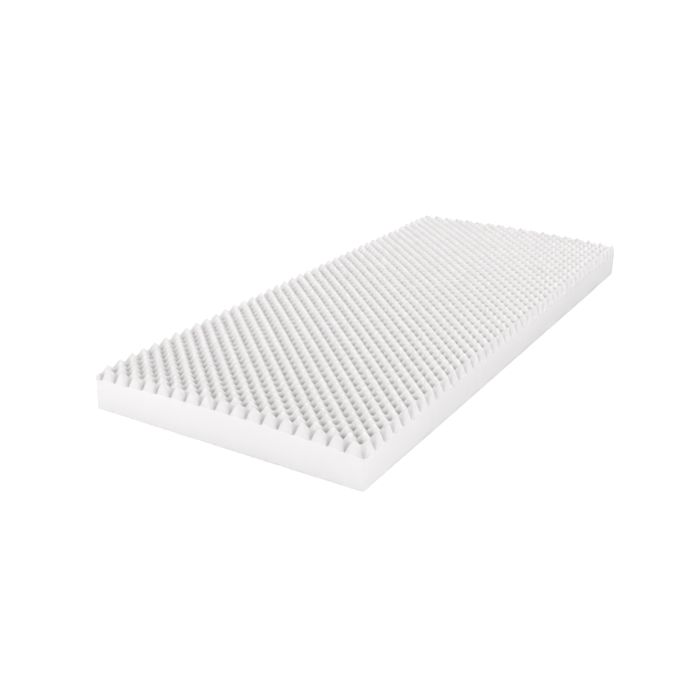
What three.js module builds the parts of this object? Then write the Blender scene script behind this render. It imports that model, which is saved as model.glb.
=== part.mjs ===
// Foam mattress: one block of foam whose upper side is cut into cones and pits, as an egg crate is.
// Millimetres, +Z up. X is the width, Y the length, and the origin is the middle of the underside.
import * as THREE from 'three';

// Driving dimensions
const width = 800;
const length = 1900;
const rimHeight = 84; // underside to the cut edge of a wall, at the ends of the two long sides
const shoulderRise = 18; // from that edge up to the middle level of the cut
const shoulderReach = 5.5; // how far in from a wall most of that rise takes
const crown = 11; // how much higher the middle level lies along the middle line
const coneHeight = 16; // a cone's tip above the middle level
const pitDepth = 26; // a pit's bottom below the middle level
const pitch = 45.4; // cone to cone along a row and from a row to the next but one
const firstCone = { x: -405, y: -939.5 }; // a tip of the first row, just off the left wall
const narrowestStrip = 6; // a row or column nearer to a wall than this is cut by that wall
const foamColour = 0xf4f2f3;

// Rows and columns are half a pitch apart, with a cone and a pit in turn at every crossing
const halfPitch = pitch / 2;

// Share of the shoulder's rise at a distance from a wall: 0 on the wall and nearly 1 at the first row inside
function shoulderShare(distance) {
  return 1 - Math.exp(-((distance / shoulderReach) ** 2));
}

// Height of the upper side: the crowned middle level inside its shoulder, with cones above it and
// pits below it. The wave is 1 on a cone's axis, -1 on a pit's, and 0 half-way between them.
function surfaceHeight(x, y) {
  const wave = Math.cos((Math.PI * (x - firstCone.x)) / halfPitch)
    * Math.cos((Math.PI * (y - firstCone.y)) / halfPitch);
  const share = shoulderShare(width / 2 - Math.abs(x)) * shoulderShare(length / 2 - Math.abs(y));
  const middle = rimHeight + shoulderRise * share + crown * (1 - ((2 * x) / width) ** 2);
  return middle + wave * (wave > 0 ? coneHeight : pitDepth);
}

// Places of the rows or columns across a side of the block, from wall to wall
function gridLines(first, extent) {
  const reach = extent / 2;
  const inside = [];
  for (let place = first; place < reach - narrowestStrip; place += halfPitch) {
    if (place > narrowestStrip - reach) {
      inside.push(place);
    }
  }
  return [-reach, ...inside, reach];
}

// Collects points and triangles for one closed body
class Body {
  constructor() {
    this.points = [];
    this.triangles = [];
  }

  point(x, y, z) {
    this.points.push(x, y, z);
    return this.points.length / 3 - 1;
  }

  height(index) {
    return this.points[3 * index + 2];
  }

  triangle(a, b, c) {
    this.triangles.push(a, b, c);
  }

  geometry() {
    const geometry = new THREE.BufferGeometry();
    geometry.setAttribute('position', new THREE.Float32BufferAttribute(this.points, 3));
    geometry.setIndex(this.triangles);
    geometry.computeVertexNormals();
    return geometry;
  }
}

// Upper side: four facets round the saddle in the middle of each cell, and two in the cells at the walls.
// Returns the grid of point numbers, a list of columns for each row.
function addUpperSide(body, columns, rows) {
  const grid = rows.map((y) => columns.map((x) => body.point(x, y, surfaceHeight(x, y))));
  const lastColumn = columns.length - 2;
  const lastRow = rows.length - 2;
  for (let row = 0; row <= lastRow; row += 1) {
    for (let column = 0; column <= lastColumn; column += 1) {
      const corners = [
        grid[row][column],
        grid[row][column + 1],
        grid[row + 1][column + 1],
        grid[row + 1][column],
      ];
      const atWall = row === 0 || row === lastRow || column === 0 || column === lastColumn;
      if (atWall) {
        addFoldedCell(body, corners);
      } else {
        const x = (columns[column] + columns[column + 1]) / 2;
        const y = (rows[row] + rows[row + 1]) / 2;
        addSaddleCell(body, corners, body.point(x, y, surfaceHeight(x, y)));
      }
    }
  }
  return grid;
}

function addSaddleCell(body, corners, saddle) {
  corners.forEach((corner, index) => {
    body.triangle(corner, corners[(index + 1) % 4], saddle);
  });
}

// The fold runs between the two higher corners
function addFoldedCell(body, [a, b, c, d]) {
  if (body.height(a) + body.height(c) > body.height(b) + body.height(d)) {
    body.triangle(a, b, c);
    body.triangle(a, c, d);
  } else {
    body.triangle(a, b, d);
    body.triangle(b, c, d);
  }
}

// One wall, seen from outside: its straight foot from left to right, then the cut edge above it
function addWall(body, footLeft, footRight, edge) {
  const outline = [footLeft, footRight, ...edge.slice().reverse()];
  const origin = new THREE.Vector3().fromArray(body.points, 3 * footLeft);
  const flat = outline.map((index) => {
    const place = new THREE.Vector3().fromArray(body.points, 3 * index).sub(origin);
    return new THREE.Vector2(Math.hypot(place.x, place.y), place.z);
  });
  THREE.ShapeUtils.triangulateShape(flat, []).forEach(([a, b, c]) => {
    const leftTurn = THREE.ShapeUtils.area([flat[a], flat[b], flat[c]]) > 0;
    body.triangle(outline[a], outline[leftTurn ? b : c], outline[leftTurn ? c : b]);
  });
}

function makeMattress() {
  const body = new Body();
  const columns = gridLines(firstCone.x, width);
  const rows = gridLines(firstCone.y, length);
  const grid = addUpperSide(body, columns, rows);

  const foot = [
    body.point(-width / 2, -length / 2, 0),
    body.point(width / 2, -length / 2, 0),
    body.point(width / 2, length / 2, 0),
    body.point(-width / 2, length / 2, 0),
  ];
  const front = grid[0];
  const back = grid[grid.length - 1];
  const left = grid.map((row) => row[0]);
  const right = grid.map((row) => row[row.length - 1]);
  addWall(body, foot[0], foot[1], front);
  addWall(body, foot[1], foot[2], right);
  addWall(body, foot[2], foot[3], back.slice().reverse());
  addWall(body, foot[3], foot[0], left.slice().reverse());

  // Flat underside, facing down
  body.triangle(foot[0], foot[2], foot[1]);
  body.triangle(foot[0], foot[3], foot[2]);
  return body.geometry();
}

const foam = new THREE.MeshStandardMaterial({ color: foamColour, roughness: 0.95, metalness: 0 });

const mattress = new THREE.Mesh(makeMattress(), foam);
mattress.name = 'mattress';

const group = new THREE.Group();
group.add(mattress);

export default group;
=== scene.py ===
# Foam mattress: a bare white foam block whose upper side is cut into cones and pits
import math

import bpy
import numpy as np
from mathutils import Matrix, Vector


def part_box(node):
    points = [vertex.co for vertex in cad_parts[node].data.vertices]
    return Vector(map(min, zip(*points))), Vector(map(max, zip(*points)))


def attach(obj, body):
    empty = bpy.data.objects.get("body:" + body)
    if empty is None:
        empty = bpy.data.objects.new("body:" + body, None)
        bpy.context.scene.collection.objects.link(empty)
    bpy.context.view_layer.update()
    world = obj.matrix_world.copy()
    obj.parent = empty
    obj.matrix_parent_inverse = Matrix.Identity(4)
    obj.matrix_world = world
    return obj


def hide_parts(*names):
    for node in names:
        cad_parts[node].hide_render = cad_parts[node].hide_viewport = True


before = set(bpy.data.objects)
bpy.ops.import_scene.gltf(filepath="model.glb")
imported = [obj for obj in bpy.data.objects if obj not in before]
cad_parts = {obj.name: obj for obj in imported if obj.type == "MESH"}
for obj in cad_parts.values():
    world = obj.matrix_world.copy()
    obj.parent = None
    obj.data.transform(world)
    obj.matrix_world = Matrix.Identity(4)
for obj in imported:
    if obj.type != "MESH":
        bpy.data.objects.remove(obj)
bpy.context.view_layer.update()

blockLow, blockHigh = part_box("mattress")
blockWidth = blockHigh[0] - blockLow[0]
blockLength = blockHigh[1] - blockLow[1]
print("frame loaded, block", round(blockWidth, 3), "by", round(blockLength, 3))


def placed(right, up, back, place):
    # Matrix that turns an object's X, Y and Z axes to these directions and moves it to the place
    turned = np.eye(4)
    turned[:3] = np.stack([right, up, back, place], 1)
    return Matrix(turned.tolist())


# Camera

view = {
    "azimuth": 29.908,              # degrees, seen from the right of the foot end
    "elevation": 22.405,
    "roll": 1.2,                    # the right side of the picture lies a little high
    "place": (1.3236, -2.6306, 1.1349),
    "lens": 50.75,                  # millimetres
    "sensor": 36,                   # millimetres across
}


def makeCamera():
    azimuth, elevation, roll = (math.radians(view[key]) for key in ("azimuth", "elevation", "roll"))
    forward = np.array([-math.sin(azimuth) * math.cos(elevation),
                        math.cos(azimuth) * math.cos(elevation),
                        -math.sin(elevation)])
    level = np.array([math.cos(azimuth), math.sin(azimuth), 0.0])
    upright = np.cross(level, forward)
    right = math.cos(roll) * level + math.sin(roll) * upright
    up = np.cross(right, forward)
    data = bpy.data.cameras.new("studioCamera")
    data.sensor_width = view["sensor"]
    data.lens = view["lens"]
    camera = bpy.data.objects.new("studioCamera", data)
    camera.matrix_world = placed(right, up, -forward, view["place"])
    bpy.context.collection.objects.link(camera)
    bpy.context.scene.camera = camera


makeCamera()
print("camera placed")


# Foam block

foam = {
    "rim": 0.084,                   # underside to the cut edge of a wall, at the ends of the long sides
    "shoulderRise": 0.018,          # from that edge up to the middle level of the cut
    "shoulderReach": 0.0055,        # how far in from a wall most of that rise takes
    "shoulderSpan": 1.3,            # reaches from a wall to the last of the grid lines set close there
    "shoulderLines": 5,             # how many of them there are, beside the one on the wall
    "crown": 0.011,                 # how much higher the middle level lies along the middle line
    "coneHeight": 0.016,            # a cone's tip above the middle level
    "pitDepth": 0.026,              # a pit's bottom below it
    "pitch": 0.0454,                # cone to cone along a row
    "firstCone": (-0.405, -0.9395),  # a tip of the first row, just off the left wall
    "tipSharpness": 0.92,           # 1 gives pointed tips and pits, lower values round them
    "conePower": 0.8,               # below 1 the cones are stouter
    "pitPower": 1.5,                # above 1 the pits are narrower
    "stepsPerHalfPitch": 5,
    "stepEase": 0.35,               # draws the grid lines together at tips and pits
    "leastGap": 1 / 3,              # steps between the shoulder's last line and the next one
    "edgeRadius": 0.006,            # of the four upright edges
    "footRadius": 0.003,            # of the edges round the underside
    "footBends": (30, 60, 90),      # degrees along that arc at which it has points
    "wallRows": 7,                  # from the cut edge down to that arc
    "heightSpread": 0.0008,         # how unlike the cones' heights are
    "heightPatch": 0.11,            # how far apart the higher ones stand
    "wallWander": 0.0005,           # how far the sawn walls stray from a plane
    "wanderPatch": 0.09,            # how far apart their hollows lie
    "noiseWaves": 5,                # in both of these
    "noiseStretch": (0.7, 1.4),     # least and greatest number of waves to a patch
    "seed": 7,
    "paintedShadingLevel": 0.20,              # relief without painted light and shade: cones are painted lighter, saddles and pits painted darker
    "paintedShadingFade": 0.024,              # the painted light and shade are full this far from a wall
}


def gridLines(first, low, high):
    # Lines half a pitch apart with some between them: an even step t becomes
    # t - ease * sin(2 pi t) / (2 pi), which sets them closer beside a tip or a pit.
    # A few lines set close together take their place at the two walls, for the shoulder.
    half = foam["pitch"] / 2
    count = foam["stepsPerHalfPitch"]
    lowest = math.floor((low - first) / half) * count
    highest = math.ceil((high - first) / half) * count
    even = np.arange(lowest, highest + 1) / count
    eased = even - foam["stepEase"] * np.sin(2 * np.pi * even) / (2 * np.pi)
    lines = first + half * eased
    span = foam["shoulderSpan"] * foam["shoulderReach"]
    shoulder = np.linspace(0, span, foam["shoulderLines"] + 1)
    margin = span + foam["leastGap"] * half / count
    inside = lines[(lines > low + margin) & (lines < high - margin)]
    return np.concatenate([low + shoulder, inside, high - shoulder[::-1]])


def roundCorners(x, y):
    # The square at each corner, a and b from 0 to 1 across it, becomes a quarter of a disc:
    # a * sqrt(1 - b * b / 2) and b * sqrt(1 - a * a / 2)
    radius = foam["edgeRadius"]
    a = np.clip((np.abs(x) - blockWidth / 2) / radius + 1, 0, 1)
    b = np.clip((np.abs(y) - blockLength / 2) / radius + 1, 0, 1)
    corner = (a > 0) & (b > 0)
    roundX = blockWidth / 2 - radius + radius * a * np.sqrt(1 - b * b / 2)
    roundY = blockLength / 2 - radius + radius * b * np.sqrt(1 - a * a / 2)
    return np.where(corner, np.sign(x) * roundX, x), np.where(corner, np.sign(y) * roundY, y)


def softNoise(x, y, size, seed):
    # Sum of a few cosine waves with random directions, starts and lengths, between about -1 and 1
    draw = np.random.default_rng(seed)
    count = foam["noiseWaves"]
    turns = draw.uniform(0, np.pi, count)
    starts = draw.uniform(0, 2 * np.pi, count)
    stretches = draw.uniform(*foam["noiseStretch"], count)
    total = 0
    for turn, start, stretch in zip(turns, starts, stretches):
        across = x * np.cos(turn) + y * np.sin(turn)
        total += np.cos(2 * np.pi * across * stretch / size + start)
    return total / (count / 2)


def shoulderShare(distance):
    # 0 on a wall and nearly 1 at the first row inside: 1 - exp(-(distance / reach) squared)
    return 1 - np.exp(-(distance / foam["shoulderReach"]) ** 2)


def reliefShare(x, y):
    # Wave: cos(2 pi u) * cos(2 pi v), 1 on a cone's axis and -1 on a pit's, with u and v in pitches.
    # Flank: arcsine(sharpness * size of wave) / arcsine(sharpness), which grows evenly from 0 at the
    # middle level to 1 at a tip or a pit. Its powers make the cones stout and the pits narrow.
    firstX, firstY = foam["firstCone"]
    u = (x - firstX) / foam["pitch"]
    v = (y - firstY) / foam["pitch"]
    wave = np.cos(2 * np.pi * u) * np.cos(2 * np.pi * v)
    flank = np.arcsin(foam["tipSharpness"] * np.abs(wave)) / math.asin(foam["tipSharpness"])
    return np.where(wave > 0, flank ** foam["conePower"], -flank ** foam["pitPower"])


def topHeight(x, y):
    # Middle level, rim + the shoulder's rise + crown * (1 - (2 x / width) squared), and the relief
    # times a cone's height above that level or a pit's depth below it
    share = shoulderShare(blockWidth / 2 - np.abs(x)) * shoulderShare(blockLength / 2 - np.abs(y))
    middle = foam["rim"] + foam["shoulderRise"] * share + foam["crown"] * (1 - (2 * x / blockWidth) ** 2)
    spread = foam["heightSpread"] * softNoise(x, y, foam["heightPatch"], foam["seed"])
    relief = reliefShare(x, y)
    return middle + relief * np.where(relief > 0, foam["coneHeight"] + spread, foam["pitDepth"])


def paintedShadingShare(x, y):
    # Painted light and shade: how far a point of the top lies above the level without them, faded out
    # towards the walls
    nearWall = np.minimum(blockWidth / 2 - np.abs(x), blockLength / 2 - np.abs(y))
    fade = np.clip(nearWall / foam["paintedShadingFade"], 0, 1) ** 2
    return (reliefShare(x, y) - foam["paintedShadingLevel"]) * fade


def wallPoints(edge):
    # Rings of points under the cut edge, in even steps down to the foot's radius and then along its
    # arc. They stray inwards by the wander, which fades out at the edge and at the underside.
    along = np.roll(edge, -1, 0)[:, :2] - np.roll(edge, 1, 0)[:, :2]
    outward = np.stack([along[:, 1], -along[:, 0]], -1)
    outward /= np.linalg.norm(outward, axis=1)[:, None]
    radius = foam["footRadius"]
    share = np.linspace(0, 1, foam["wallRows"] + 1)[1:]
    straight = edge[None, :, 2] + share[:, None] * (radius - edge[None, :, 2])
    bend = np.radians(foam["footBends"])
    arc = np.broadcast_to(radius * (1 - np.sin(bend))[:, None], (len(bend), len(edge)))
    heights = np.concatenate([straight, arc])
    inset = np.concatenate([np.zeros(len(share)), radius * (1 - np.cos(bend))])
    around = edge[:, 0] + edge[:, 1]
    wander = foam["wallWander"] * softNoise(around, heights, foam["wanderPatch"], foam["seed"] + 1)
    wander *= np.sin(np.pi * np.clip(heights / edge[:, 2], 0, 1)) ** 2
    plan = edge[None, :, :2] - (inset[:, None] + np.abs(wander))[:, :, None] * outward[None]
    return np.concatenate([plan, heights[:, :, None]], -1).reshape(-1, 3)


def ringEdges(mesh, ring):
    # True for each of the mesh's edges that joins two neighbours in a closed ring of points
    ends = np.zeros(2 * len(mesh.edges), int)
    mesh.edges.foreach_get("vertices", ends)
    position = np.full(len(mesh.vertices), -1)
    position[ring] = np.arange(len(ring))
    first, second = position[ends].reshape(-1, 2).T
    step = np.abs(first - second)
    return (first >= 0) & (second >= 0) & ((step == 1) | (step == len(ring) - 1))


def makeBlock():
    columns = gridLines(foam["firstCone"][0], blockLow[0], blockHigh[0])
    rows = gridLines(foam["firstCone"][1], blockLow[1], blockHigh[1])
    x, y = roundCorners(*np.meshgrid(columns, rows))
    top = np.stack([x, y, topHeight(x, y)], -1).reshape(-1, 3)
    number = np.arange(len(top)).reshape(x.shape)
    topFaces = np.stack([number[:-1, :-1], number[:-1, 1:], number[1:, 1:], number[1:, :-1]], -1)

    # Walls, hung on the ring of points round the top
    ring = np.concatenate([number[0, :-1], number[:-1, -1], number[-1, :0:-1], number[:0:-1, 0]])
    walls = wallPoints(top[ring])
    lower = len(top) + np.arange(len(walls)).reshape(-1, len(ring))
    levels = np.concatenate([ring[None], lower])
    nextOne = np.roll(levels, -1, 1)
    wallFaces = np.stack([levels[:-1], levels[1:], nextOne[1:], nextOne[:-1]], -1)

    # Underside: a fan from the middle, which is the last point
    foot = levels[-1]
    middle = np.full(len(foot), len(top) + len(walls))
    underside = np.stack([np.roll(foot, -1), foot, middle], -1)

    points = np.concatenate([top, walls, [[0, 0, 0]]])
    faces = topFaces.reshape(-1, 4).tolist() + wallFaces.reshape(-1, 4).tolist() + underside.tolist()
    mesh = bpy.data.meshes.new("foamBlock")
    mesh.from_pydata(points.tolist(), [], faces)
    mesh.polygons.foreach_set("use_smooth", np.ones(len(mesh.polygons), bool))
    mesh.edges.foreach_set("use_edge_sharp", ringEdges(mesh, ring))

    # Painted light and shade follow the relief on the top and leave the walls and the underside plain
    tint = np.zeros(len(points))
    tint[:len(top)] = paintedShadingShare(x, y).ravel()
    mesh.attributes.new("paintedShadingByRelief", "FLOAT", "POINT").data.foreach_set("value", tint)
    mesh.update()
    block = bpy.data.objects.new("foamBlock", mesh)
    bpy.context.collection.objects.link(block)
    return block


block = makeBlock()
print("foam block made,", sum(len(face.vertices) - 2 for face in block.data.polygons), "triangles")


# Materials

class Value:
    # One socket of a node tree; arithmetic on it adds Math nodes
    def __init__(self, tree, socket):
        self.tree = tree
        self.socket = socket

    def maths(self, operation, first, second):
        node = self.tree.nodes.new("ShaderNodeMath")
        node.operation = operation
        for slot, item in zip(node.inputs, (first, second)):
            if isinstance(item, Value):
                self.tree.links.new(item.socket, slot)
            else:
                slot.default_value = item
        return Value(self.tree, node.outputs[0])

    def __add__(self, other):
        return self.maths("ADD", self, other)

    def __radd__(self, other):
        return self.maths("ADD", other, self)

    def __sub__(self, other):
        return self.maths("SUBTRACT", self, other)

    def __rsub__(self, other):
        return self.maths("SUBTRACT", other, self)

    def __mul__(self, other):
        return self.maths("MULTIPLY", self, other)

    def __rmul__(self, other):
        return self.maths("MULTIPLY", other, self)


class Finish:
    # A material and its one way of adding a node: by type, the output used, settings and sockets
    def __init__(self, name):
        self.material = bpy.data.materials.new(name)
        self.material.use_nodes = True
        self.tree = self.material.node_tree
        self.shader = self.tree.nodes["Principled BSDF"]

    def node(self, kind, output, settings, sockets):
        made = self.tree.nodes.new(kind)
        for key, item in settings.items():
            setattr(made, key, item)
        self.fill(made, sockets)
        return Value(self.tree, made.outputs[output])

    def noise(self, place, scale, detail):
        return self.node("ShaderNodeTexNoise", "Fac", {},
                         {"Vector": place, "Scale": scale, "Detail": detail})

    def mix(self, amount, first, second):
        # The node has a set of sockets for each kind of value, so its colours go by number.
        # It holds the amount between 0 and 1.
        factorIn, firstIn, secondIn, colourOut = 0, 6, 7, 2
        return self.node("ShaderNodeMix", colourOut, {"data_type": "RGBA"},
                         {factorIn: amount, firstIn: first, secondIn: second})

    def fill(self, made, sockets):
        for key, item in sockets.items():
            if isinstance(item, Value):
                self.tree.links.new(item.socket, made.inputs[key])
            else:
                made.inputs[key].default_value = item


foamFinish = {
    "light": (0.862, 0.850, 0.852, 1),
    "shade": (0.838, 0.824, 0.826, 1),
    "cone": (0.99, 0.975, 0.973, 1),  # painted light: the colour that the tips tend to
    "pit": (0.30, 0.25, 0.245, 1),  # painted shade: the colour that the bottoms of the pits tend to
    "cloudScale": 9.0,              # patches per metre
    "grainScale": 260.0,
    "noiseDetail": 3.0,             # of both
    "cloudShare": 0.6,              # of the patches between light and shade, the rest is grain
    "poreScale": 625.0,
    "poreShare": 0.7,               # of the pores in the relief, the rest is grain
    "poreDepth": 0.0004,
    "reliefStrength": 0.5,
    "roughness": 0.95,
    "specular": 0.15,
}


def foamMaterial():
    finish = Finish("foam")
    place = finish.node("ShaderNodeTexCoord", "Object", {}, {})
    pores = finish.node("ShaderNodeTexVoronoi", "Distance", {},
                        {"Vector": place, "Scale": foamFinish["poreScale"]})
    grain = finish.noise(place, foamFinish["grainScale"], foamFinish["noiseDetail"])
    cloud = finish.noise(place, foamFinish["cloudScale"], foamFinish["noiseDetail"])
    cloudShare = foamFinish["cloudShare"]
    mottle = cloud * cloudShare + grain * (1 - cloudShare)
    tint = finish.mix(mottle, foamFinish["shade"], foamFinish["light"])

    # Painted light and shade: above the level without them the relief draws the colour to the cones'
    # painted light, below it to the pits' painted shade
    relief = finish.node("ShaderNodeAttribute", "Fac", {"attribute_name": "paintedShadingByRelief"}, {})
    tint = finish.mix(relief, tint, foamFinish["cone"])
    tint = finish.mix(0 - relief, tint, foamFinish["pit"])
    poreShare = foamFinish["poreShare"]
    bump = finish.node("ShaderNodeBump", "Normal", {}, {
        "Strength": foamFinish["reliefStrength"],
        "Distance": foamFinish["poreDepth"],
        "Height": pores * poreShare + grain * (1 - poreShare),
    })
    finish.fill(finish.shader, {
        "Base Color": tint,
        "Roughness": foamFinish["roughness"],
        "Specular IOR Level": foamFinish["specular"],
        "Normal": bump,
    })
    return finish.material


block.data.materials.append(foamMaterial())
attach(block, "root")
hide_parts("mattress")
print("foam finished")


# Studio: a white floor and large soft lamps all round, the strongest high on the right

studio = {
    "surround": 0.054,              # strength of the white light from everywhere
    "lampSide": 2.4,                # metres along a side of each square lamp
    "lampReach": 4.0,               # metres from the origin
    "lamps": (                      # name, azimuth from the foot end towards the right, elevation, watts
        ("leftLow", 315, 18, 45),
        ("frontLow", 0, 18, 18),
        ("rightLow", 60, 18, 15),
        ("rightHigh", 45, 50, 22),
        ("sideHigh", 90, 50, 50),
        ("backHigh", 180, 50, 38),
        ("leftHigh", 270, 50, 20),
        ("above", 0, 89.9, 44),
    ),
    "floorReach": 30.0,             # metres from the origin to its edges
    "floorColour": (0.93, 0.93, 0.93, 1),
    "nearGlow": (0.14, 0.14, 0.14, 1),
    "farGlow": (1.0, 1.0, 1.0, 1),
    "glowFrom": 0.75,               # metres from the origin where the near glow ends
    "glowTo": 2.6,                  # and where the far glow begins
}


def makeFloor():
    reach = studio["floorReach"]
    corners = [(-reach, -reach, 0), (reach, -reach, 0), (reach, reach, 0), (-reach, reach, 0)]
    mesh = bpy.data.meshes.new("floor")
    mesh.from_pydata(corners, [], [(0, 1, 2, 3)])
    floor = bpy.data.objects.new("floor", mesh)
    bpy.context.collection.objects.link(floor)

    # The glow grows with distance, so that the floor stays white where the lamps no longer reach
    finish = Finish("paleFloor")
    place = finish.node("ShaderNodeTexCoord", "Object", {}, {})
    distance = finish.node("ShaderNodeVectorMath", "Value", {"operation": "LENGTH"}, {0: place})
    span = studio["glowTo"] - studio["glowFrom"]
    glow = finish.mix((distance - studio["glowFrom"]) * (1 / span), studio["nearGlow"], studio["farGlow"])
    finish.fill(finish.shader, {
        "Base Color": studio["floorColour"],
        "Roughness": 1.0,
        "Specular IOR Level": 0.0,
        "Emission Color": glow,
        "Emission Strength": 1.0,
    })
    mesh.materials.append(finish.material)


def makeLamps():
    for name, azimuth, elevation, power in studio["lamps"]:
        data = bpy.data.lights.new(name, "AREA")
        data.shape = "SQUARE"
        data.size = studio["lampSide"]
        data.energy = power
        lamp = bpy.data.objects.new(name, data)
        turn, rise = math.radians(azimuth), math.radians(elevation)
        back = np.array([math.sin(turn) * math.cos(rise),
                         -math.cos(turn) * math.cos(rise),
                         math.sin(rise)])
        across = np.array([math.cos(turn), math.sin(turn), 0.0])
        lamp.matrix_world = placed(across, np.cross(back, across), back, studio["lampReach"] * back)
        bpy.context.collection.objects.link(lamp)


def makeSurround():
    world = bpy.data.worlds.new("surround")
    world.use_nodes = True
    background = world.node_tree.nodes["Background"]
    background.inputs["Color"].default_value = (1, 1, 1, 1)
    background.inputs["Strength"].default_value = studio["surround"]
    bpy.context.scene.world = world


makeFloor()
makeLamps()
makeSurround()
bpy.context.scene.view_settings.view_transform = "Standard"
print("studio lit")
